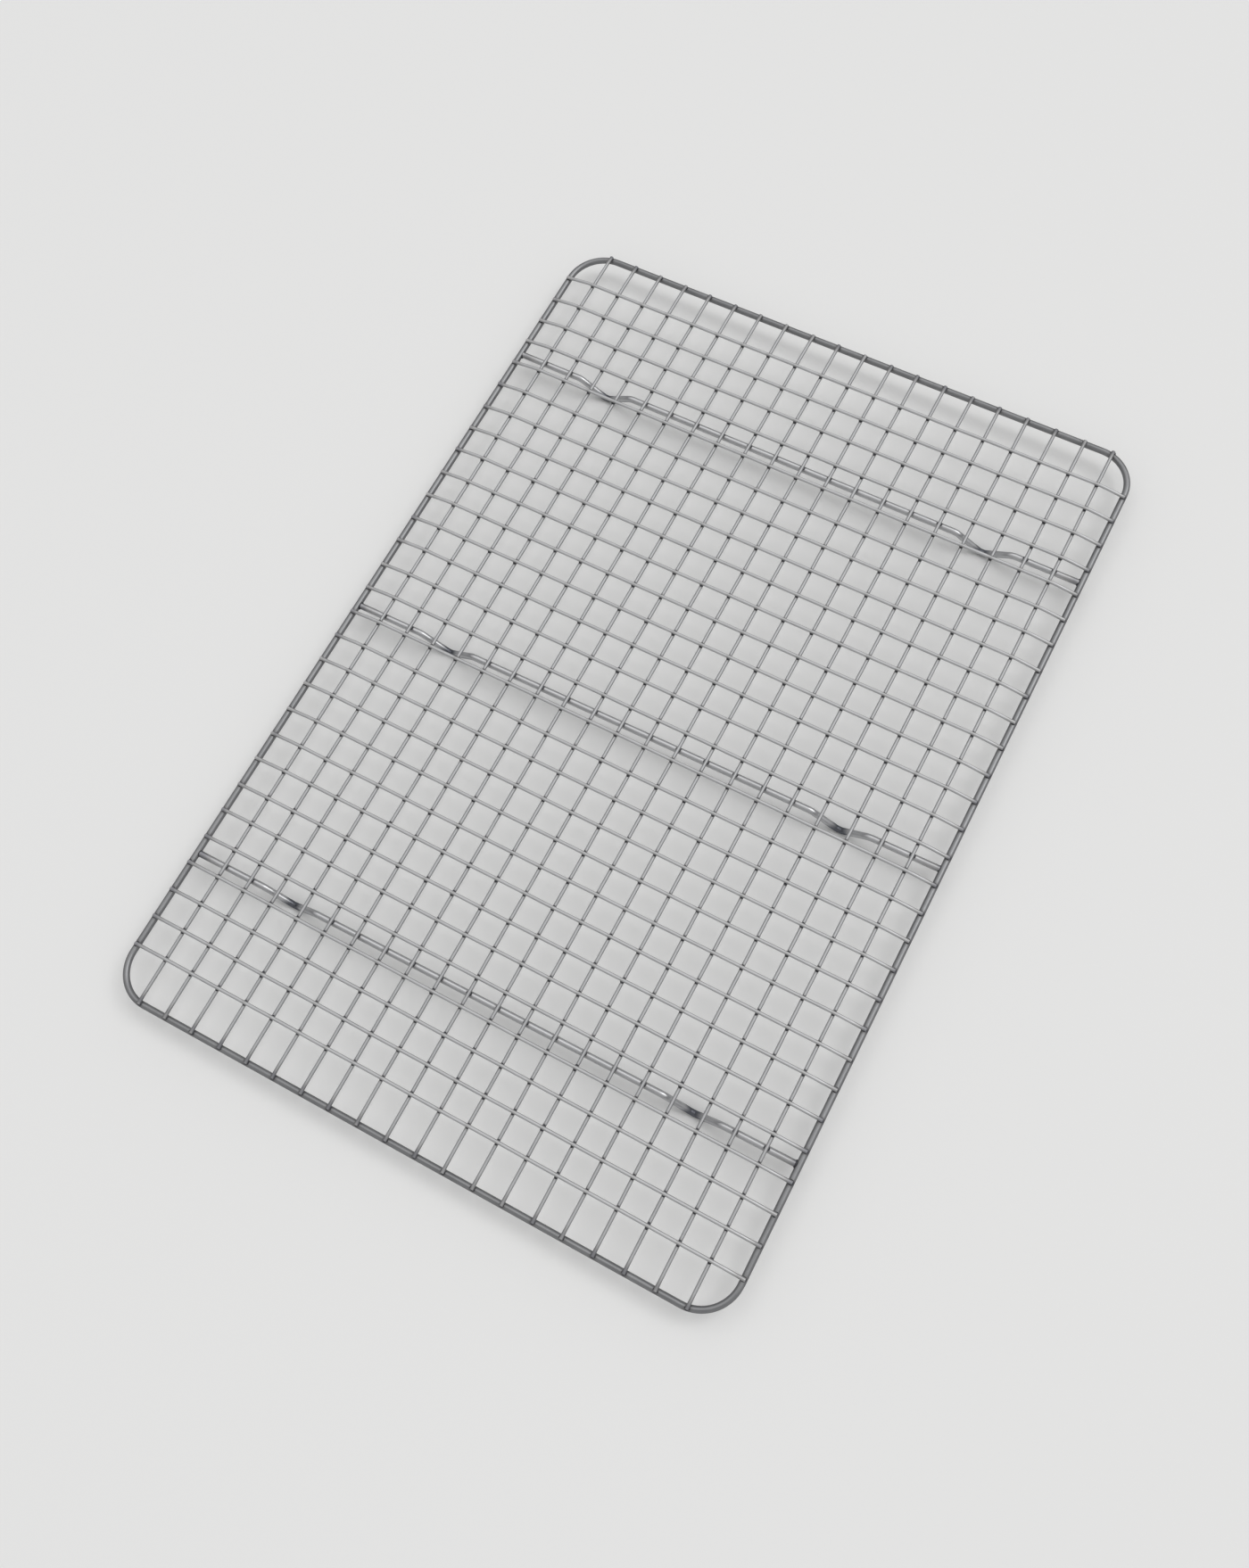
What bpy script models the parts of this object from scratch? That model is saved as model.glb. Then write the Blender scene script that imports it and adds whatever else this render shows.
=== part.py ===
"""Welded wire cooling rack for a half-size sheet pan.

Units are metres and +Z is up. X runs across the rack, Y along it, and the origin is on the ground
under the rack's centre. The steel stands on the ground at z = 0 on the bottoms of six V feet.

From the ground up: three support bars with V feet and the perimeter frame share one level, the
lengthwise wires lie on both, and the crosswise wires lie on the lengthwise wires. The ends of the
crosswise wires step down onto the frame. Touching pieces keep a small gap where the weld would be.
"""

import math

import bpy

OBJECT_NAME = "cooling_rack"

# Wire stock
WIRE_DIAMETER = 0.0016
ROD_DIAMETER = 0.0030
WIRE_SIDES = 8
ROD_SIDES = 12
WELD_GAP = 0.0003

# Grid
LENGTHWISE_COUNT = 20
CROSSWISE_COUNT = 29
LENGTHWISE_PITCH = 0.01410
CROSSWISE_PITCH = 0.01392

# Perimeter frame, to the middle of its wire
FRAME_HALF_WIDTH = 0.1490
FRAME_HALF_LENGTH = 0.2155
FRAME_CORNER_RADIUS = 0.0180
FRAME_CORNER_SEGMENTS = 6

# Support bars: places along the rack in crosswise pitches from the middle wire
BAR_ROWS = {"far": 10.5, "middle": -0.5, "near": -10.5}

# V feet, to the middle of the bar's wire
FOOT_OFFSET = 0.1001
FOOT_DEPTH = 0.0080
FOOT_HALF_WIDTH = 0.0140
FOOT_TOE_HALF_WIDTH = 0.0012
FOOT_SHOULDER_RADIUS = 0.0060
FOOT_TOE_RADIUS = 0.0030
FOOT_BEND_SEGMENTS = 4

# Wire ends stop this far past the middle of the frame's wire
WIRE_OVERRUN = 0.0007

# Step in a crosswise wire, between the outer lengthwise wire and the frame
STEP_START = 0.0025
STEP_END = 0.0022

# Finishes: colour, roughness
ROD_FINISH = ((0.50, 0.51, 0.53), 0.34)
WIRE_FINISH = ((0.56, 0.57, 0.59), 0.32)


def vertex_radius(diameter, sides):
    """Radius of a regular polygon with the same area as the round wire."""
    return diameter / 2 * math.sqrt(2 * math.pi / (sides * math.sin(2 * math.pi / sides)))


def flat_radius(diameter, sides):
    """Distance from the wire's axis to one of its facets."""
    return vertex_radius(diameter, sides) * math.cos(math.pi / sides)


# Heights of the wires' axes, worked out from the ground up
ROD_FLAT = flat_radius(ROD_DIAMETER, ROD_SIDES)
WIRE_FLAT = flat_radius(WIRE_DIAMETER, WIRE_SIDES)
TOE_AXIS = ROD_FLAT
ROD_AXIS = TOE_AXIS + FOOT_DEPTH
LENGTHWISE_AXIS = ROD_AXIS + ROD_FLAT + WELD_GAP + WIRE_FLAT
CROSSWISE_AXIS = LENGTHWISE_AXIS + 2 * WIRE_FLAT + WELD_GAP


def clear_scene():
    """Remove what the scene holds, so that the rack is alone in it."""
    for item in list(bpy.data.objects):
        bpy.data.objects.remove(item, do_unlink=True)


def steel(name, finish):
    """Plain metal with a colour and a roughness."""
    colour, roughness = finish
    material = bpy.data.materials.new(name)
    material.use_nodes = True
    shader = material.node_tree.nodes["Principled BSDF"]
    shader.inputs["Base Color"].default_value = (*colour, 1.0)
    shader.inputs["Roughness"].default_value = roughness
    shader.inputs["Metallic"].default_value = 1.0
    return material


def wire_object(name, points, diameter, sides, material, location=(0, 0, 0), closed=False):
    """A wire bent along points, with a facet of its tube facing straight up and down."""
    curve = bpy.data.curves.new(name, "CURVE")
    curve.dimensions = "3D"
    curve.twist_mode = "Z_UP"
    curve.bevel_depth = vertex_radius(diameter, sides)
    curve.bevel_resolution = sides // 2 - 2
    curve.use_fill_caps = not closed
    spline = curve.splines.new("POLY")
    spline.points.add(len(points) - 1)
    spline.use_cyclic_u = closed
    for spline_point, point in zip(spline.points, points):
        spline_point.co = (*point, 1.0)
        spline_point.tilt = math.pi / sides
    curve.materials.append(material)
    wire = bpy.data.objects.new(name, curve)
    wire.location = location
    return wire


def rounded_rectangle(half_width, half_length, radius, segments):
    """Points of a flat rounded rectangle, anticlockwise from its right side."""
    points = []
    for corner in range(4):
        sign_x = 1 if corner in (0, 3) else -1
        sign_y = 1 if corner in (0, 1) else -1
        centre_x = sign_x * (half_width - radius)
        centre_y = sign_y * (half_length - radius)
        for step in range(segments + 1):
            angle = math.radians(90) * (corner + step / segments)
            points.append((centre_x + radius * math.cos(angle), centre_y + radius * math.sin(angle), 0))
    return points


def bend_points(before, corner, after, radius, segments):
    """Points of the arc that rounds a corner of a path in the XZ plane."""
    into = math.atan2(corner[1] - before[1], corner[0] - before[0])
    out = math.atan2(after[1] - corner[1], after[0] - corner[0])
    turn = out - into
    tangent = radius * math.tan(abs(turn) / 2)
    side = math.copysign(1, turn)
    start_x = corner[0] - tangent * math.cos(into)
    start_z = corner[1] - tangent * math.sin(into)
    centre_x = start_x - side * radius * math.sin(into)
    centre_z = start_z + side * radius * math.cos(into)
    points = []
    for step in range(segments + 1):
        angle = into + turn * step / segments - side * math.pi / 2
        points.append((centre_x + radius * math.cos(angle), centre_z + radius * math.sin(angle)))
    return points


def bar_points():
    """Path of a support bar: straight, with a V foot near each end."""
    end = FRAME_HALF_WIDTH - ROD_FLAT - WELD_GAP
    corners = [(-end, 0)]
    radii = [0]
    for centre in (-FOOT_OFFSET, FOOT_OFFSET):
        corners.append((centre - FOOT_HALF_WIDTH, 0))
        corners.append((centre - FOOT_TOE_HALF_WIDTH, -FOOT_DEPTH))
        corners.append((centre + FOOT_TOE_HALF_WIDTH, -FOOT_DEPTH))
        corners.append((centre + FOOT_HALF_WIDTH, 0))
        radii += [FOOT_SHOULDER_RADIUS, FOOT_TOE_RADIUS, FOOT_TOE_RADIUS, FOOT_SHOULDER_RADIUS]
    corners.append((end, 0))
    path = [corners[0]]
    for index in range(1, len(corners) - 1):
        path += bend_points(*corners[index - 1:index + 2], radii[index], FOOT_BEND_SEGMENTS)
    path.append(corners[-1])
    return [(x, 0, z) for x, z in path]


def lengthwise_points():
    """Path of a lengthwise wire: straight, from frame side to frame side."""
    end = FRAME_HALF_LENGTH + WIRE_OVERRUN
    return [(0, -end, 0), (0, end, 0)]


def crosswise_points():
    """Path of a crosswise wire: straight over the grid, with both ends stepped down."""
    end = FRAME_HALF_WIDTH + WIRE_OVERRUN
    foot = FRAME_HALF_WIDTH - STEP_END
    knee = (LENGTHWISE_COUNT - 1) / 2 * LENGTHWISE_PITCH + STEP_START
    drop = LENGTHWISE_AXIS - CROSSWISE_AXIS
    return [
        (-end, 0, drop),
        (-foot, 0, drop),
        (-knee, 0, 0),
        (knee, 0, 0),
        (foot, 0, drop),
        (end, 0, drop),
    ]


def make_frame(material):
    """The perimeter frame, one closed loop of thick wire."""
    points = rounded_rectangle(FRAME_HALF_WIDTH, FRAME_HALF_LENGTH, FRAME_CORNER_RADIUS, FRAME_CORNER_SEGMENTS)
    location = (0, 0, ROD_AXIS)
    return [wire_object("rim_frame", points, ROD_DIAMETER, ROD_SIDES, material, location, closed=True)]


def make_bars(material):
    """The three support bars, named by their place along the rack."""
    bars = []
    for place, row in BAR_ROWS.items():
        name = f"support_bar_{place}"
        location = (0, row * CROSSWISE_PITCH, ROD_AXIS)
        bars.append(wire_object(name, bar_points(), ROD_DIAMETER, ROD_SIDES, material, location))
    return bars


def make_lengthwise_wires(material):
    """The lengthwise wires, numbered from the left."""
    wires = []
    for index in range(LENGTHWISE_COUNT):
        name = f"lengthwise_wire_{index + 1:02d}"
        offset = (index - (LENGTHWISE_COUNT - 1) / 2) * LENGTHWISE_PITCH
        location = (offset, 0, LENGTHWISE_AXIS)
        wires.append(wire_object(name, lengthwise_points(), WIRE_DIAMETER, WIRE_SIDES, material, location))
    return wires


def make_crosswise_wires(material):
    """The crosswise wires, numbered from the far end."""
    wires = []
    for index in range(CROSSWISE_COUNT):
        name = f"crosswise_wire_{index + 1:02d}"
        offset = ((CROSSWISE_COUNT - 1) / 2 - index) * CROSSWISE_PITCH
        location = (0, offset, CROSSWISE_AXIS)
        wires.append(wire_object(name, crosswise_points(), WIRE_DIAMETER, WIRE_SIDES, material, location))
    return wires


def main():
    clear_scene()
    rack = bpy.data.collections.new(OBJECT_NAME)
    bpy.context.scene.collection.children.link(rack)
    rod_steel = steel("rod_steel", ROD_FINISH)
    wire_steel = steel("wire_steel", WIRE_FINISH)
    pieces = make_frame(rod_steel) + make_bars(rod_steel)
    pieces += make_lengthwise_wires(wire_steel) + make_crosswise_wires(wire_steel)
    for piece in pieces:
        rack.objects.link(piece)


main()
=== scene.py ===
"""Looks of the welded wire cooling rack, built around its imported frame.

Units are metres, +Z is up, and the origin is on the ground under the rack's centre. Every wire is
swept again as a round drawn wire, in the place of its CAD node, with its bends, sheared ends and the
small unevenness of welded mesh. Weld nuggets join the wires where they cross.
"""

import math
import random

import bpy
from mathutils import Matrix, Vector


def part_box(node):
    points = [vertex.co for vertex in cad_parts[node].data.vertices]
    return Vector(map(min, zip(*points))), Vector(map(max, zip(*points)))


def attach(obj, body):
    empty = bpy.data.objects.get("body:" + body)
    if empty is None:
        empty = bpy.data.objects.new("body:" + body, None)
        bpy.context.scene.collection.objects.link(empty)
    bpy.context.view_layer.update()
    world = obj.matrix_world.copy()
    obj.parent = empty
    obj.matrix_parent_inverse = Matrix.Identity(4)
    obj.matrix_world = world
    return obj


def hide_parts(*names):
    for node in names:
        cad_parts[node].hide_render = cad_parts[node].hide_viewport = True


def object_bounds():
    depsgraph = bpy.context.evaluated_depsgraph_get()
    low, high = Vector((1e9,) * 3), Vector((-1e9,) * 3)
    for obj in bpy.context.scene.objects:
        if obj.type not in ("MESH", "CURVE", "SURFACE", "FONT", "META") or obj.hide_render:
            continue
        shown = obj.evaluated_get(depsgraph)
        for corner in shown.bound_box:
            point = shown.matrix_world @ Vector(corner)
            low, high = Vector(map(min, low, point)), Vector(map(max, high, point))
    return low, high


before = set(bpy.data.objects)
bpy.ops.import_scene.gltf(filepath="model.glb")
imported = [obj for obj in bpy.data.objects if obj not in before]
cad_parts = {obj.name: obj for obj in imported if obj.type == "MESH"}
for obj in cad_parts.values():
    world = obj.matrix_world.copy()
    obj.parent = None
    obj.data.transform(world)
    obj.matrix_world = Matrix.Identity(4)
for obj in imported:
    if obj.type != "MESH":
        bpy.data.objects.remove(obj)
CAD_LOW, CAD_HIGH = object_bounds()

# Names of the CAD nodes and of the one body
LENGTHWISE = sorted(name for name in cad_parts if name.startswith("lengthwise_wire_"))
CROSSWISE = sorted(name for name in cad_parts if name.startswith("crosswise_wire_"))
BARS = ["support_bar_far", "support_bar_middle", "support_bar_near"]
BODY = "root"

# Wire stock
WIRE_RADIUS = 0.0008
ROD_RADIUS = 0.0015
WIRE_SIDES = 16
ROD_SIDES = 28
WIRE_STEP = 0.0035
ROD_STEP = 0.0040
END_CHAMFER = 0.00015
SHARP_ANGLE_DEG = 35

# Welds press the wires this far into each other, and the wires' ends further into the frame
SET_DOWN = 0.00008
END_SET_DOWN = 0.00032

# Pressed ends of the wires: their length, the share of the radius that they are flattened by, and the
# distance between their rings
END_SET_DOWN_RUN = 0.0050
END_FLATTENING = 0.12
END_STEP = 0.0006

# Wire ends stop this far past the middle of the frame's wire
WIRE_OVERRUN = 0.0007

# Length of the steps at the ends of the crosswise wires
STEP_RUN = 0.0125

# Unevenness of the welded mesh: each wire's offset, lean and bow, and a fine ripple
OFFSET_SIZE = 0.00020
LEAN_SIZE = 0.00025
BOW_SIZE = 0.00030
RIPPLE_SIZE = 0.00004
RIPPLE_LENGTH = 0.055
SEED = 41

# Perimeter frame, and how far each corner stands out of square, across the rack and along it. A
# corner is named by the signs of its x and y.
CORNER_RADIUS = 0.0180
CORNER_SEGMENTS = 20
CORNER_STRAY = {
    (-1, 1): (0.0007, -0.0006),
    (1, 1): (-0.0018, -0.0005),
    (1, -1): (-0.0002, 0.0005),
    (-1, -1): (-0.0012, -0.0013),
}

# V feet of the support bars, to the middle of the rod
FOOT_OFFSET = 0.1001
FOOT_HALF_WIDTH = 0.0140
FOOT_TOE_HALF_WIDTH = 0.0012
FOOT_SHOULDER_RADIUS = 0.0060
FOOT_TOE_RADIUS = 0.0030
FOOT_BEND_SEGMENTS = 10

# How far each bar's middle is off its place along the rack, and how much further its right end is
BAR_STRAY = {
    "support_bar_far": (0.0, 0.0002),
    "support_bar_middle": (-0.0007, 0.0018),
    "support_bar_near": (-0.0002, 0.0011),
}

# The toes of the feet are painted darker than the bars, a painted shade for the dark that the low bends
# reflect:
# this starts at one depth below the bar's middle, and from another depth down it is full
FOOT_PAINTED_SHADE_START = 0.0040
FOOT_PAINTED_SHADE_END = 0.0064
FOOT_PAINTED_SHADE = (0.26, 0.27, 0.30)

# Weld nuggets: half sizes across the rack, along it and up. The frame's are across the frame's wire,
# along it and up.
GRID_NUGGET = (0.00096, 0.00148, 0.00044)
FRAME_NUGGET = (0.00105, 0.00132, 0.00046)
BAR_NUGGET = (0.00132, 0.00118, 0.00045)
BUTT_NUGGET = (0.00085, 0.00185, 0.00145)

# How much the nuggets' sizes vary, the waves round their outline, and the facets of their meshes
NUGGET_VARIATION = 0.12
NUGGET_WAVES = (2, 3)
NUGGET_WAVE_SIZE = 0.09
NUGGET_SLICES = 14
NUGGET_STACKS = 8

# Heat tint beside the welds: its reach in the grid, at the wires' ends on the frame and at the bars'
# butted ends, and its colours from clear steel to the weld
TINT_REACH = 0.0026
END_TINT_REACH = 0.0075
BUTT_TINT_REACH = 0.0160
TINT_STOPS = [(0.0, (1, 1, 1)), (0.45, (0.84, 0.83, 0.82)), (1.0, (0.50, 0.50, 0.53))]

# Steel: dark tone, light tone, roughness. It is one steel, painted lighter on the crosswise wires and
# bars and darker on the lengthwise wires and frame: painted light and painted shade for how each
# member faces the lights and what it reflects.
FRAME_SHADED_TONE = ((0.200, 0.202, 0.208), (0.290, 0.292, 0.298), 0.40)
BAR_LIT_TONE = ((0.440, 0.443, 0.453), (0.580, 0.583, 0.593), 0.32)
LONG_SHADED_TONE = ((0.350, 0.353, 0.359), (0.460, 0.463, 0.469), 0.48)
CROSS_LIT_TONE = ((0.475, 0.478, 0.484), (0.595, 0.598, 0.604), 0.46)
GRAZING_TINT = (0.40, 0.40, 0.41, 1)

# Steel's texture. Die lines and streaks are noise stretched along the wire; these are its scales along
# the wire and round it. Wear is die lines, streaks and clouds, mixed by their shares.
DIE_LINE_SCALE = (40, 7000, 1)
STREAK_SCALE = (9, 1300, 1)
CLOUD_SCALE = 90.0
SPECK_SCALE = 2600.0
DIE_LINE_SHARE = 0.35
STREAK_SHARE = 0.25
CLOUD_SHARE = 0.40

# Weld metal and sheared ends: noise scales, and (value, colour) stops. The weld metal's dark stops are
# partly weld scale and partly a painted shade for the shadowed gap where the wires cross.
GRAIN_SCALE = 1700.0
PATCH_SCALE = 420.0
WELD_SCALE_AND_SHADE_STOPS = [(0.35, (0.030, 0.030, 0.034)), (0.62, (0.085, 0.085, 0.095))]
SHEAR_SCALE = (1200, 1200, 9000)
SHEAR_STOPS = [(0.35, (0.055, 0.055, 0.060)), (0.65, (0.16, 0.16, 0.17))]

# Studio. A softbox has a place that gives its direction, its spread in degrees and its strength.
FLOOR_SIZE = 40
FLOOR_COLOUR = (0.80, 0.80, 0.795, 1)
SOFTBOXES = {
    "right_softbox": ((0.80, 0.80, 1.6), 38, 0.88),
    "left_softbox": ((-0.60, 0.50, 1.6), 46, 0.36),
}
WORLD_COLOUR = (1.0, 1.0, 1.0, 1)
WORLD_STRENGTH = 0.62

# Camera
CAMERA_LOCATION = (0.16680, -0.21250, 0.6461)
CAMERA_ROTATION_DEG = (20.147, 4.939, 28.390)
CAMERA_LENS_MM = 35.06
CAMERA_SENSOR_MM = 36.0
CAMERA_CLIP = (0.01, 50)


# ---------------------------------------------------------------- mesh helpers


def circle(sides):
    """Unit directions round a circle, as pairs."""
    angles = [2 * math.pi * side / sides for side in range(sides)]
    return [(math.cos(angle), math.sin(angle)) for angle in angles]


def evenly(start, end, step):
    """Places from start to end, both counted, no more than a step apart."""
    count = max(1, math.ceil(abs(end - start) / step))
    return [start + (end - start) * number / count for number in range(count + 1)]


def smooth_share(value):
    """0 to 1 with flat ends, for value from 0 to 1 and held outside it."""
    value = min(1.0, max(0.0, value))
    return value * value * (3 - 2 * value)


def new_piece(name, vertices, faces):
    """A smooth-shaded mesh object in the scene."""
    mesh = bpy.data.meshes.new(name)
    mesh.from_pydata(vertices, [], faces)
    mesh.shade_smooth()
    piece = bpy.data.objects.new(name, mesh)
    bpy.context.scene.collection.objects.link(piece)
    return piece


def wire_rings(path, radius, closed, flats):
    """(centre, direction, radius, flatness) of each ring of a swept wire, with chamfers at open ends."""
    count = len(path)
    rings = []
    for index, point in enumerate(path):
        before = path[index - 1] if closed or index > 0 else point
        after = path[(index + 1) % count] if closed or index < count - 1 else point
        rings.append((point, (after - before).normalized(), radius, flats[index]))
    if not closed:
        first, first_way, _, first_flat = rings[0]
        last, last_way, _, last_flat = rings[-1]
        rings[0] = (first, first_way, radius - END_CHAMFER, first_flat)
        rings[-1] = (last, last_way, radius - END_CHAMFER, last_flat)
        rings.insert(1, (first + first_way * END_CHAMFER, first_way, radius, first_flat))
        rings.insert(-1, (last - last_way * END_CHAMFER, last_way, radius, last_flat))
    return rings


def sweep(name, path, radius, sides, closed=False, flats=None):
    """A round wire along a path that never runs straight up, with a UV map in metres.

    The faces of open ends take the second material. flats says how far each point of the path is
    pressed flat, from 0 to 1.
    """
    rings = wire_rings(path, radius, closed, flats or [0.0] * len(path))
    vertices = []
    along = [0.0]
    for index, (centre, way, ring_radius, flat) in enumerate(rings):
        sideways = way.cross(Vector((0, 0, 1))).normalized()
        upward = sideways.cross(way) * (ring_radius * (1 - END_FLATTENING * flat))
        sideways = sideways * (ring_radius * (1 + END_FLATTENING * flat))
        vertices += [centre + sideways * across + upward * up for across, up in circle(sides)]
        following = rings[(index + 1) % len(rings)][0]
        along.append(along[-1] + (following - centre).length)
    spans = len(rings) if closed else len(rings) - 1
    faces = []
    uvs = []
    around = 2 * math.pi * radius / sides
    for ring in range(spans):
        here = ring * sides
        there = (ring + 1) % len(rings) * sides
        start = along[ring]
        end = along[ring + 1]
        for side in range(sides):
            next_side = (side + 1) % sides
            low = side * around
            high = low + around
            faces.append((here + side, here + next_side, there + next_side, there + side))
            uvs += [(start, low), (start, high), (end, high), (end, low)]
    side_faces = len(faces)
    if not closed:
        faces.append(tuple(reversed(range(sides))))
        faces.append(tuple(range(spans * sides, (spans + 1) * sides)))
        uvs += [(across * radius, up * radius) for across, up in circle(sides)] * 2
    wire = new_piece(name, vertices, faces)
    wire.data.set_sharp_from_angle(angle=math.radians(SHARP_ANGLE_DEG))
    layer = wire.data.uv_layers.new(name="along_wire")
    for loop, uv in zip(layer.data, uvs):
        loop.uv = uv
    for face in wire.data.polygons[side_faces:]:
        face.material_index = 1
    return wire


def nugget_vertices(centre, size, draw):
    """Points of an uneven flattened ball, from its top down, ring by ring."""
    centre = Vector(centre)
    wide, long, high = size
    waves = [
        (order, draw.uniform(0.0, NUGGET_WAVE_SIZE), draw.uniform(0, 2 * math.pi))
        for order in NUGGET_WAVES
    ]
    vertices = [centre + Vector((0, 0, high))]
    for stack in range(1, NUGGET_STACKS):
        tilt = math.pi * stack / NUGGET_STACKS
        for number, (across, along) in enumerate(circle(NUGGET_SLICES)):
            turn = 2 * math.pi * number / NUGGET_SLICES
            swell = 1 + sum(part * math.cos(order * turn + phase) for order, part, phase in waves)
            swell *= math.sin(tilt)
            offset = (across * wide * swell, along * long * swell, high * math.cos(tilt))
            vertices.append(centre + Vector(offset))
    vertices.append(centre - Vector((0, 0, high)))
    return vertices


def nugget_faces(top, bottom):
    """Faces of a nugget, from the numbers of its top and bottom points."""
    first = top + 1
    last = bottom - NUGGET_SLICES
    faces = []
    for side in range(NUGGET_SLICES):
        following = (side + 1) % NUGGET_SLICES
        faces.append((top, first + side, first + following))
        for here in range(first, last, NUGGET_SLICES):
            there = here + NUGGET_SLICES
            faces.append((here + side, there + side, there + following, here + following))
        faces.append((last + side, bottom, last + following))
    return faces


def nuggets(name, places, draw):
    """One mesh of weld nuggets, at each (centre, half sizes)."""
    vertices = []
    faces = []
    for centre, size in places:
        top = len(vertices)
        vertices += nugget_vertices(centre, size, draw)
        faces += nugget_faces(top, len(vertices) - 1)
    return new_piece(name, vertices, faces)


# ---------------------------------------------------------------- places read from the frame


def middle(node):
    """Middle of a CAD node's box."""
    low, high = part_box(node)
    return (low + high) / 2


def half_span(node, axis):
    """Half the size of a CAD node's box along an axis."""
    low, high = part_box(node)
    return (high[axis] - low[axis]) / 2


ROD_Z = middle("rim_frame").z
LENGTHWISE_Z = ROD_Z + ROD_RADIUS + WIRE_RADIUS - SET_DOWN
CROSSWISE_Z = LENGTHWISE_Z + 2 * WIRE_RADIUS - SET_DOWN
FRAME_HALF_WIDTH = half_span("rim_frame", 0) - ROD_RADIUS
FRAME_HALF_LENGTH = half_span("rim_frame", 1) - ROD_RADIUS
LENGTHWISE_X = [middle(name).x for name in LENGTHWISE]
CROSSWISE_Y = [middle(name).y for name in CROSSWISE]


def corner_stray(x, y):
    """How far the frame stands out of square at a place, mixed from its four corners."""
    stray = Vector((0, 0))
    for (sign_x, sign_y), corner in CORNER_STRAY.items():
        share = (1 + sign_x * x / FRAME_HALF_WIDTH) * (1 + sign_y * y / FRAME_HALF_LENGTH) / 4
        stray += Vector(corner) * share
    return stray


def side_x(sign, y):
    """Middle of the frame's left or right side, at a place along the rack."""
    x = sign * FRAME_HALF_WIDTH
    return x + corner_stray(x, y).x


def side_y(sign, x):
    """Middle of the frame's near or far side, at a place across the rack."""
    y = sign * FRAME_HALF_LENGTH
    return y + corner_stray(x, y).y


# ---------------------------------------------------------------- the mesh's small unevenness


class Wander:
    """How far one wire strays sideways, in metres, along its length."""

    def __init__(self, draw, half_length):
        self.half_length = half_length
        self.offset = draw.uniform(-OFFSET_SIZE, OFFSET_SIZE)
        self.lean = draw.uniform(-LEAN_SIZE, LEAN_SIZE)
        self.bow = draw.uniform(-BOW_SIZE, BOW_SIZE)
        self.phase = draw.uniform(0, 2 * math.pi)

    def at(self, place):
        """The stray at a place along the wire, counted from its middle."""
        share = place / self.half_length
        ripple = RIPPLE_SIZE * math.sin(2 * math.pi * place / RIPPLE_LENGTH + self.phase)
        return self.offset + self.lean * share + self.bow * (0.5 - share * share) + ripple


DRAW = random.Random(SEED)
LENGTHWISE_WANDER = [Wander(DRAW, FRAME_HALF_LENGTH) for _ in LENGTHWISE]
CROSSWISE_WANDER = [Wander(DRAW, FRAME_HALF_WIDTH) for _ in CROSSWISE]


def lengthwise_x(index, y):
    """Middle of a lengthwise wire, at a place along the rack."""
    return LENGTHWISE_X[index] + LENGTHWISE_WANDER[index].at(y)


def crosswise_y(index, x):
    """Middle of a crosswise wire, at a place across the rack."""
    return CROSSWISE_Y[index] + CROSSWISE_WANDER[index].at(x)


def lengthwise_ends(index):
    """Where a lengthwise wire starts and ends, just past the frame's near and far sides."""
    x = LENGTHWISE_X[index]
    return side_y(-1, x) - WIRE_OVERRUN, side_y(1, x) + WIRE_OVERRUN


def crosswise_ends(index):
    """Where a crosswise wire starts and ends, just past the frame's left and right sides."""
    y = CROSSWISE_Y[index]
    return side_x(-1, y) - WIRE_OVERRUN, side_x(1, y) + WIRE_OVERRUN


def pressed(place, ends):
    """How far a wire is pressed into the frame at a place, from 0 to 1 at either end."""
    low, high = ends
    return smooth_share(1 - min(place - low, high - place) / END_SET_DOWN_RUN)


def lengthwise_z(y, ends):
    """Height of a lengthwise wire's axis: level, with its ends sunk into the frame."""
    return LENGTHWISE_Z - (END_SET_DOWN - SET_DOWN) * pressed(y, ends)


def crosswise_z(x, ends):
    """Height of a crosswise wire's axis: level over the grid, stepped down onto the frame at its ends."""
    knee = abs(LENGTHWISE_X[0]) + WIRE_RADIUS
    step = (LENGTHWISE_Z - CROSSWISE_Z) * smooth_share((abs(x) - knee) / STEP_RUN)
    return CROSSWISE_Z + step - (END_SET_DOWN - SET_DOWN) * pressed(x, ends)


def bar_y(name, x):
    """Middle of a support bar, at a place across the rack."""
    offset, skew = BAR_STRAY[name]
    return middle(name).y + offset + skew * x / FRAME_HALF_WIDTH


# ---------------------------------------------------------------- materials


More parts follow.
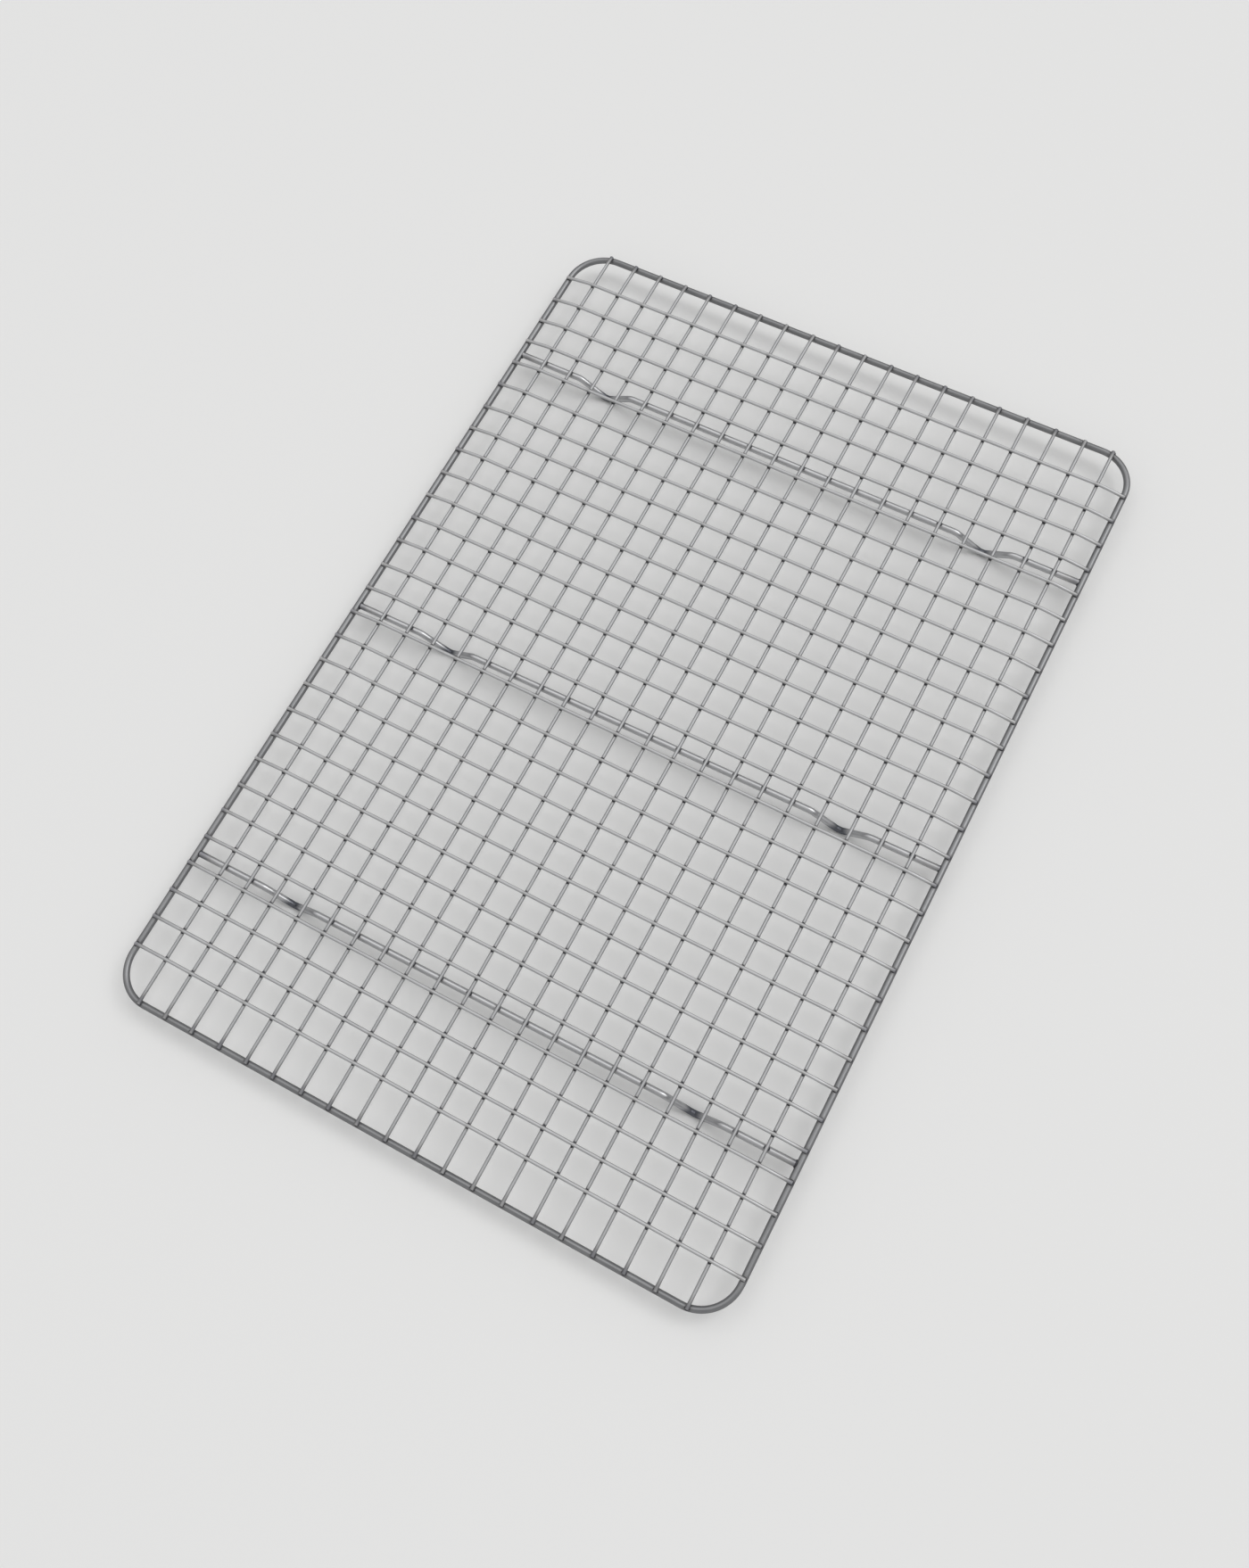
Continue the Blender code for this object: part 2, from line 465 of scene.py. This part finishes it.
class Shader:
    """A new material whose nodes are added one call at a time."""

    def __init__(self, name, metallic, roughness):
        self.material = bpy.data.materials.new(name)
        self.material.use_nodes = True
        self.tree = self.material.node_tree
        self.surface = self.tree.nodes["Principled BSDF"]
        self.surface.inputs["Metallic"].default_value = metallic
        self.surface.inputs["Roughness"].default_value = roughness
        self.place = self.tree.nodes.new("ShaderNodeTexCoord")

    def feed(self, node, **values):
        """Sets or links a node's inputs, which are named with _ for spaces."""
        for name, value in values.items():
            target = node.inputs[name.replace("_", " ")]
            if isinstance(value, bpy.types.NodeSocket):
                self.tree.links.new(value, target)
            else:
                target.default_value = value
        return node

    def noise(self, vector, scale=1.0, detail=3.0):
        """Cloudy values from 0 to 1, where vector says."""
        node = self.tree.nodes.new("ShaderNodeTexNoise")
        return self.feed(node, Vector=vector, Scale=scale, Detail=detail).outputs["Fac"]

    def stretched(self, source, scale):
        """A texture coordinate, scaled along each of its axes."""
        node = self.tree.nodes.new("ShaderNodeMapping")
        return self.feed(node, Vector=self.place.outputs[source], Scale=scale).outputs["Vector"]

    def math(self, operation, *values):
        """The result of a Math node."""
        node = self.tree.nodes.new("ShaderNodeMath")
        node.operation = operation
        for value, target in zip(values, node.inputs):
            if isinstance(value, bpy.types.NodeSocket):
                self.tree.links.new(value, target)
            else:
                target.default_value = value
        return node.outputs[0]

    def mixed(self, *parts):
        """The weighted sum of (value, weight) parts."""
        total = self.math("MULTIPLY", *parts[0])
        for value, weight in parts[1:]:
            total = self.math("ADD", total, self.math("MULTIPLY", value, weight))
        return total

    def fitted(self, value, low, high, to_low, to_high):
        """A value moved smoothly from one range to another, and held at its ends."""
        node = self.tree.nodes.new("ShaderNodeMapRange")
        node.interpolation_type = "SMOOTHSTEP"
        self.feed(node, Value=value, From_Min=low, From_Max=high, To_Min=to_low, To_Max=to_high)
        return node.outputs["Result"]

    def ramp(self, value, stops):
        """A colour from a value, through (position, colour) stops in rising order."""
        node = self.tree.nodes.new("ShaderNodeValToRGB")
        elements = node.color_ramp.elements
        for element, (position, colour) in zip(elements, (stops[0], stops[-1])):
            element.position = position
            element.color = (*colour, 1)
        for position, colour in stops[1:-1]:
            elements.new(position).color = (*colour, 1)
        return self.feed(node, Fac=value).outputs["Color"]

    def multiplied(self, first, second):
        """The product of two colours."""
        node = self.tree.nodes.new("ShaderNodeMixRGB")
        node.blend_type = "MULTIPLY"
        return self.feed(node, Fac=1.0, Color1=first, Color2=second).outputs["Color"]

    def bump(self, height, strength, distance):
        """Gives the surface the relief of a height."""
        node = self.tree.nodes.new("ShaderNodeBump")
        self.feed(node, Height=height, Strength=strength, Distance=distance)
        self.feed(self.surface, Normal=node.outputs["Normal"])

    def split_place(self):
        """The X, Y and Z of the shaded point, in the rack's frame."""
        node = self.tree.nodes.new("ShaderNodeSeparateXYZ")
        return self.feed(node, Vector=self.place.outputs["Object"]).outputs

    def weld_distance(self, axis, rows, height):
        """Distance to the nearest of the welds in evenly spaced rows across an axis, all at one height."""
        split = self.split_place()
        place = split[axis]
        first, last = min(rows), max(rows)
        inside = self.math("MINIMUM", self.math("MAXIMUM", place, first), last)
        beyond = self.math("ABSOLUTE", self.math("SUBTRACT", place, inside))
        half_pitch = (last - first) / (len(rows) - 1) / 2
        between = self.math("PINGPONG", self.math("SUBTRACT", inside, first), half_pitch)
        level = self.math("ADD", between, beyond)
        upright = self.math("SUBTRACT", split["Z"], height)
        squares = [self.math("MULTIPLY", leg, leg) for leg in (level, upright)]
        return self.math("SQRT", self.math("ADD", *squares))


def drawn_steel(name, tone, *weld_rows, paint_toe_shade=False):
    """Drawn steel wire: die lines along it, cloudy tone, and heat tint beside the rows of welds.

    weld_rows are two sets of rows, each (axis, places along that axis, height, reach of the tint).
    The flag at the end paints a shade on the toes that hang below the bars.
    """
    dark, light, roughness = tone
    shader = Shader(name, metallic=1.0, roughness=roughness)
    shader.surface.inputs["Specular Tint"].default_value = GRAZING_TINT
    die_lines = shader.noise(shader.stretched("UV", DIE_LINE_SCALE))
    streaks = shader.noise(shader.stretched("UV", STREAK_SCALE), detail=2.0)
    clouds = shader.noise(shader.place.outputs["Object"], CLOUD_SCALE)
    specks = shader.noise(shader.place.outputs["Object"], SPECK_SCALE, detail=2.0)
    wear = shader.mixed((die_lines, DIE_LINE_SHARE), (streaks, STREAK_SHARE), (clouds, CLOUD_SHARE))
    heats = []
    for axis, rows, height, reach in weld_rows:
        distance = shader.weld_distance(axis, rows, height)
        heats.append(shader.fitted(distance, low=0.0, high=reach, to_low=1.0, to_high=0.0))
    patchiness = shader.fitted(clouds, low=0.35, high=0.60, to_low=0.35, to_high=1.0)
    heat = shader.math("MULTIPLY", shader.math("MAXIMUM", *heats), patchiness)
    worn = shader.ramp(wear, [(0.34, dark), (0.66, light)])
    colour = shader.multiplied(worn, shader.ramp(heat, TINT_STOPS))
    # Painted shade: the toes of the feet are darkened by height, for the dark that the low bends reflect.
    if paint_toe_shade:
        full = ROD_Z - FOOT_PAINTED_SHADE_END
        start = ROD_Z - FOOT_PAINTED_SHADE_START
        shade = shader.fitted(shader.split_place()["Z"], low=full, high=start, to_low=1.0, to_high=0.0)
        colour = shader.multiplied(colour, shader.ramp(shade, [(0.0, (1, 1, 1)), (1.0, FOOT_PAINTED_SHADE)]))
    worn_rough = shader.fitted(wear, low=0.35, high=0.65, to_low=roughness - 0.04, to_high=roughness + 0.06)
    speck_rough = shader.fitted(specks, low=0.55, high=0.75, to_low=0.0, to_high=0.12)
    rough = shader.mixed((worn_rough, 1.0), (speck_rough, 1.0), (heat, 0.10))
    shader.feed(shader.surface, Base_Color=colour, Roughness=rough)
    shader.bump(die_lines, strength=0.25, distance=0.00004)
    return shader.material


def weld_scale_and_shade(name):
    """Squeezed-out weld metal, grainy, dark partly with scale and partly with a painted shade for the gap
    where the wires cross.
    """
    shader = Shader(name, metallic=0.7, roughness=0.55)
    grains = shader.noise(shader.place.outputs["Object"], GRAIN_SCALE)
    patches = shader.noise(shader.place.outputs["Object"], PATCH_SCALE, detail=2.0)
    # Painted shade: part of this dark colour stands for the shadowed gap under the crossing wires.
    colour = shader.ramp(shader.mixed((grains, 0.5), (patches, 0.5)), WELD_SCALE_AND_SHADE_STOPS)
    rough = shader.fitted(grains, low=0.35, high=0.65, to_low=0.42, to_high=0.68)
    shader.feed(shader.surface, Base_Color=colour, Roughness=rough)
    shader.bump(grains, strength=0.6, distance=0.0001)
    return shader.material


def sheared_steel(name):
    """The sheared face of a wire's end: dull, with drag marks from the blade."""
    shader = Shader(name, metallic=0.9, roughness=0.6)
    marks = shader.noise(shader.stretched("Object", SHEAR_SCALE))
    shader.feed(shader.surface, Base_Color=shader.ramp(marks, SHEAR_STOPS))
    shader.bump(marks, strength=0.5, distance=0.00005)
    return shader.material


# Rows of welds that tint the steel: axis, places along it, height, reach of the tint
ROD_TOP = ROD_Z + ROD_RADIUS
WIRE_TOP = LENGTHWISE_Z + WIRE_RADIUS
ROD_ROWS_ACROSS = ("X", LENGTHWISE_X, ROD_TOP, TINT_REACH)
ROD_ROWS_ALONG = ("Y", CROSSWISE_Y, ROD_TOP, TINT_REACH)
WIRE_ROWS_ACROSS = ("X", LENGTHWISE_X, WIRE_TOP, TINT_REACH)
WIRE_ROWS_ALONG = ("Y", CROSSWISE_Y, WIRE_TOP, TINT_REACH)
FRAME_ACROSS = ("X", [-FRAME_HALF_WIDTH, FRAME_HALF_WIDTH], ROD_TOP, END_TINT_REACH)
FRAME_ALONG = ("Y", [-FRAME_HALF_LENGTH, FRAME_HALF_LENGTH], ROD_TOP, END_TINT_REACH)
BUTT_ACROSS = ("X", [-FRAME_HALF_WIDTH, FRAME_HALF_WIDTH], ROD_Z, BUTT_TINT_REACH)

# The tones differ by member as painted light and painted shade, not as different steels.
FRAME_SHADED_STEEL = drawn_steel("frame_steel_shaded", FRAME_SHADED_TONE, ROD_ROWS_ACROSS, ROD_ROWS_ALONG)
BAR_LIT_STEEL = drawn_steel("bar_steel_lit_toes_shaded", BAR_LIT_TONE, ROD_ROWS_ACROSS, BUTT_ACROSS, paint_toe_shade=True)
CROSS_LIT_STEEL = drawn_steel("cross_wire_steel_lit", CROSS_LIT_TONE, WIRE_ROWS_ACROSS, FRAME_ACROSS)
LONG_SHADED_STEEL = drawn_steel("long_wire_steel_shaded", LONG_SHADED_TONE, WIRE_ROWS_ALONG, FRAME_ALONG)
SHEARED = sheared_steel("sheared_steel")
WELD_SCALE_AND_SHADE = weld_scale_and_shade("weld_scale_and_shade")


def dress(piece, slot, materials, *nodes):
    """Gives a piece its materials and body, and lets it stand for CAD nodes. slot is not used."""
    for material in materials:
        piece.data.materials.append(material)
    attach(piece, BODY)
    if nodes:
        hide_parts(*nodes)


# ---------------------------------------------------------------- the wires


def straight(start, end):
    """Points between two ends of a straight run, without the ends."""
    shares = evenly(0, 1, ROD_STEP / (end - start).length)
    return [start.lerp(end, share) for share in shares[1:-1]]


def frame_path():
    """Middle line of the perimeter frame, anticlockwise from the right side."""
    path = []
    for number, (sign_x, sign_y) in enumerate(((1, 1), (-1, 1), (-1, -1), (1, -1))):
        centre_x = sign_x * (FRAME_HALF_WIDTH - CORNER_RADIUS)
        centre_y = sign_y * (FRAME_HALF_LENGTH - CORNER_RADIUS)
        arc = []
        for step in range(CORNER_SEGMENTS + 1):
            angle = math.radians(90) * (number + step / CORNER_SEGMENTS)
            x = centre_x + CORNER_RADIUS * math.cos(angle)
            y = centre_y + CORNER_RADIUS * math.sin(angle)
            stray = corner_stray(x, y)
            arc.append(Vector((x + stray.x, y + stray.y, ROD_Z)))
        if path:
            path += straight(path[-1], arc[0])
        path += arc
    return path + straight(path[-1], path[0])


def bend(before, corner, after, radius):
    """Points of the arc that rounds a corner of a path in the XZ plane."""
    into = math.atan2(corner[1] - before[1], corner[0] - before[0])
    turn = math.atan2(after[1] - corner[1], after[0] - corner[0]) - into
    side = math.copysign(1, turn)
    tangent = radius * math.tan(abs(turn) / 2)
    centre_x = corner[0] - tangent * math.cos(into) - side * radius * math.sin(into)
    centre_z = corner[1] - tangent * math.sin(into) + side * radius * math.cos(into)
    points = []
    for step in range(FOOT_BEND_SEGMENTS + 1):
        angle = into + turn * step / FOOT_BEND_SEGMENTS - side * math.pi / 2
        points.append((centre_x + radius * math.cos(angle), centre_z + radius * math.sin(angle)))
    return points


def bar_path(name):
    """Middle line of a support bar, with its two V feet."""
    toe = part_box(name)[0].z + ROD_RADIUS
    # The chamfered ends are sunk into the frame's surface
    inset = ROD_RADIUS - 2 * END_CHAMFER
    corners = [(side_x(-1, bar_y(name, -FRAME_HALF_WIDTH)) + inset, ROD_Z)]
    radii = [0]
    for centre in (-FOOT_OFFSET, FOOT_OFFSET):
        corners.append((centre - FOOT_HALF_WIDTH, ROD_Z))
        corners.append((centre - FOOT_TOE_HALF_WIDTH, toe))
        corners.append((centre + FOOT_TOE_HALF_WIDTH, toe))
        corners.append((centre + FOOT_HALF_WIDTH, ROD_Z))
        radii += [FOOT_SHOULDER_RADIUS, FOOT_TOE_RADIUS, FOOT_TOE_RADIUS, FOOT_SHOULDER_RADIUS]
    corners.append((side_x(1, bar_y(name, FRAME_HALF_WIDTH)) - inset, ROD_Z))
    outline = [corners[0]]
    for index in range(1, len(corners) - 1):
        outline += bend(*corners[index - 1 : index + 2], radii[index])
    outline.append(corners[-1])
    outline = [Vector((x, bar_y(name, x), z)) for x, z in outline]
    path = [outline[0]]
    for point in outline[1:]:
        path += straight(path[-1], point) + [point]
    return path


def make_frame():
    """The perimeter frame."""
    piece = sweep("frame_loop", frame_path(), ROD_RADIUS, ROD_SIDES, closed=True)
    dress(piece, "rod_steel", [FRAME_SHADED_STEEL], "rim_frame")


def make_bars():
    """The three support bars."""
    for name in BARS:
        piece = sweep(name.replace("support_bar", "footed_bar"), bar_path(name), ROD_RADIUS, ROD_SIDES)
        dress(piece, "rod_steel", [BAR_LIT_STEEL, SHEARED], name)


def wire_places(ends):
    """Places of the rings along a grid wire, closer together where its ends are pressed."""
    low, high = ends
    inner_low = low + END_SET_DOWN_RUN
    inner_high = high - END_SET_DOWN_RUN
    level = evenly(inner_low, inner_high, WIRE_STEP)
    return evenly(low, inner_low, END_STEP) + level[1:-1] + evenly(inner_high, high, END_STEP)


def make_lengthwise_wires():
    """The grid's lower wires."""
    for index, name in enumerate(LENGTHWISE):
        ends = lengthwise_ends(index)
        places = wire_places(ends)
        flats = [pressed(y, ends) for y in places]
        path = [Vector((lengthwise_x(index, y), y, lengthwise_z(y, ends))) for y in places]
        piece = sweep(f"long_wire_{index + 1:02d}", path, WIRE_RADIUS, WIRE_SIDES, flats=flats)
        dress(piece, "wire_steel", [LONG_SHADED_STEEL, SHEARED], name)


def make_crosswise_wires():
    """The grid's upper wires."""
    for index, name in enumerate(CROSSWISE):
        ends = crosswise_ends(index)
        places = wire_places(ends)
        flats = [pressed(x, ends) for x in places]
        path = [Vector((x, crosswise_y(index, x), crosswise_z(x, ends))) for x in places]
        piece = sweep(f"cross_wire_{index + 1:02d}", path, WIRE_RADIUS, WIRE_SIDES, flats=flats)
        dress(piece, "wire_steel", [CROSS_LIT_STEEL, SHEARED], name)


# ---------------------------------------------------------------- the welds


def varied(draw, *sizes):
    """Half sizes of one nugget, each a little off its usual size."""
    return [size * draw.uniform(1 - NUGGET_VARIATION, 1 + NUGGET_VARIATION) for size in sizes]


def make_grid_welds():
    """A nugget at every crossing of the grid, one piece for each crosswise wire."""
    draw = random.Random(SEED + 1)
    contact = (LENGTHWISE_Z + CROSSWISE_Z) / 2
    for row in range(len(CROSSWISE)):
        places = []
        for column in range(len(LENGTHWISE)):
            x = lengthwise_x(column, CROSSWISE_Y[row])
            places.append(((x, crosswise_y(row, x), contact), varied(draw, *GRID_NUGGET)))
        dress(nuggets(f"grid_welds_{row + 1:02d}", places, draw), "wire_steel", [WELD_SCALE_AND_SHADE])


def make_frame_welds():
    """Nuggets where the ends of the grid's wires lie on the frame."""
    draw = random.Random(SEED + 2)
    contact = ROD_TOP - 2 * SET_DOWN
    across_frame, along_frame, height = FRAME_NUGGET
    places = []
    for sign in (-1, 1):
        for row in range(len(CROSSWISE)):
            x = side_x(sign, CROSSWISE_Y[row])
            size = varied(draw, across_frame, along_frame, height)
            places.append(((x, crosswise_y(row, x), contact), size))
        for column in range(len(LENGTHWISE)):
            y = side_y(sign, LENGTHWISE_X[column])
            size = varied(draw, along_frame, across_frame, height)
            places.append(((lengthwise_x(column, y), y, contact), size))
    dress(nuggets("frame_welds", places, draw), "rod_steel", [WELD_SCALE_AND_SHADE])


def make_bar_welds():
    """Nuggets under the lengthwise wires, and the butt welds at the bars' ends."""
    draw = random.Random(SEED + 3)
    contact = ROD_TOP - SET_DOWN
    for name in BARS:
        places = []
        for column in range(len(LENGTHWISE)):
            y = bar_y(name, LENGTHWISE_X[column])
            x = lengthwise_x(column, y)
            # Over its feet the bar is bent away from the wires
            if abs(abs(x) - FOOT_OFFSET) > FOOT_HALF_WIDTH:
                places.append(((x, y, contact), varied(draw, *BAR_NUGGET)))
        for sign in (-1, 1):
            y = bar_y(name, sign * FRAME_HALF_WIDTH)
            x = side_x(sign, y) - sign * ROD_RADIUS
            places.append(((x, y, ROD_Z), varied(draw, *BUTT_NUGGET)))
        dress(nuggets(name.replace("support_bar", "bar_welds"), places, draw), "rod_steel", [WELD_SCALE_AND_SHADE])


# ---------------------------------------------------------------- studio


def make_floor():
    """A plain floor at the height of the rack's feet."""
    bpy.ops.mesh.primitive_plane_add(size=FLOOR_SIZE, location=(0, 0, CAD_LOW.z))
    floor = bpy.context.object
    floor.name = "floor"
    shader = Shader("floor", metallic=0.0, roughness=0.7)
    shader.surface.inputs["Base Color"].default_value = FLOOR_COLOUR
    floor.data.materials.append(shader.material)


def make_light(name, location, spread_deg, strength):
    """A wide, distant light that faces the rack, spread over an angle of the sky."""
    data = bpy.data.lights.new(name, "SUN")
    data.angle = math.radians(spread_deg)
    data.energy = strength
    light = bpy.data.objects.new(name, data)
    light.location = location
    light.rotation_euler = Vector(location).to_track_quat("Z", "Y").to_euler()
    bpy.context.scene.collection.objects.link(light)


def make_world():
    """An even light from all round."""
    world = bpy.data.worlds.new("studio")
    world.use_nodes = True
    background = world.node_tree.nodes["Background"]
    background.inputs["Color"].default_value = WORLD_COLOUR
    background.inputs["Strength"].default_value = WORLD_STRENGTH
    bpy.context.scene.world = world


def make_camera():
    """The camera, above the rack's near right corner."""
    data = bpy.data.cameras.new("camera")
    data.lens = CAMERA_LENS_MM
    data.sensor_width = CAMERA_SENSOR_MM
    data.clip_start, data.clip_end = CAMERA_CLIP
    camera = bpy.data.objects.new("camera", data)
    camera.location = CAMERA_LOCATION
    camera.rotation_euler = [math.radians(angle) for angle in CAMERA_ROTATION_DEG]
    bpy.context.scene.collection.objects.link(camera)
    bpy.context.scene.camera = camera


make_frame()
make_bars()
make_lengthwise_wires()
make_crosswise_wires()
make_grid_welds()
make_frame_welds()
make_bar_welds()
make_floor()
for softbox, (location, spread_deg, strength) in SOFTBOXES.items():
    make_light(softbox, location, spread_deg, strength)
make_world()
make_camera()
bpy.context.scene.view_settings.view_transform = "Standard"

bpy.context.view_layer.update()
